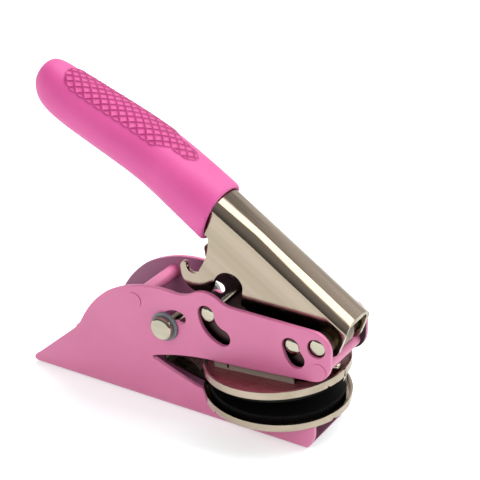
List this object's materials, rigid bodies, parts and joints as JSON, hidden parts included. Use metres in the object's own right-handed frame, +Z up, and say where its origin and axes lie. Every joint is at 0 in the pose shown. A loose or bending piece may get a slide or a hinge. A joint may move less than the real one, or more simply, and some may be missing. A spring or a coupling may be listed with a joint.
{
  "type": "seal embosser",
  "caption": "Hand-held seal embosser: a U-shaped frame with a spring-loaded lever and grip that presses a ram onto two round dies joined by a hairpin strap.",
  "frame": {"origin": "on the base plane, straight under the middle of the lower die", "axes": "+X towards the open mouth at the front, +Z up, side plates facing -Y and +Y"},
  "size_m": [0.1198, 0.049, 0.1097],
  "materials": {
    "pink_paint": "satin",
    "nickel": "polished",
    "grip_rubber": "satin",
    "die_black": "semi-gloss",
    "washer_grey": "satin",
    "spring_steel": "satin",
    "bush_brass": "satin"
  },
  "bodies": {
    "frame": {"frame": "pink_paint", "rear_spacer": "pink_paint", "front_spacer": "pink_paint", "pivot_pin": "nickel", "lower_holder": "nickel", "lower_die": "die_black", "lower_strap": "spring_steel", "lower_strap_rivets": "nickel"},
    "lever": {"lever": "nickel", "grip": "grip_rubber", "drive_pin": "nickel", "pivot_bushes": "bush_brass", "spring_sleeve": "bush_brass", "return_spring": "spring_steel"},
    "ram": {"ram": "nickel", "guide_pin": "nickel", "drive_bushes": "bush_brass"},
    "upper_die_set": {"upper_holder": "nickel", "upper_die": "die_black", "upper_strap": "spring_steel", "upper_strap_rivets": "nickel", "rails": "nickel", "locating_stud": "nickel"},
    "lock": {"lock_shaft": "nickel", "lock_washers": "washer_grey", "lock_heads": "nickel"}
  },
  "joints": [
    {"name": "lever_hinge", "type": "hinge", "parent": "frame", "child": "lever", "pos_m": [0.0205, 0, 0.03835], "axis": [0, -1, 0], "range_deg": [0, 25], "stiffness_Nm_per_rad": 0.25, "springref_deg": -57.3, "deforming": ["return_spring"]},
    {"name": "ram_hinge", "type": "hinge", "parent": "lever", "child": "ram", "pos_m": [0.0115, 0, 0.03626], "axis": [0, -1, 0], "range_deg": [-24.25, 0]},
    {"name": "die_hinge", "type": "hinge", "parent": "frame", "child": "upper_die_set", "pos_m": [-0.038, 0, 0.01525], "axis": [0, 1, 0], "range_deg": [0, 4.92]},
    {"name": "lock_slide", "type": "hinge", "parent": "frame", "child": "lock", "pos_m": [-0.03111, 0, 0.03118], "axis": [0, 1, 0], "range_deg": [0, 119.89]}
  ],
  "couplings": [
    {"joint": "ram_hinge", "follows": "lever_hinge", "ratio": -0.97},
    {"joint": "die_hinge", "follows": "lever_hinge", "ratio": 0.1968}
  ]
}
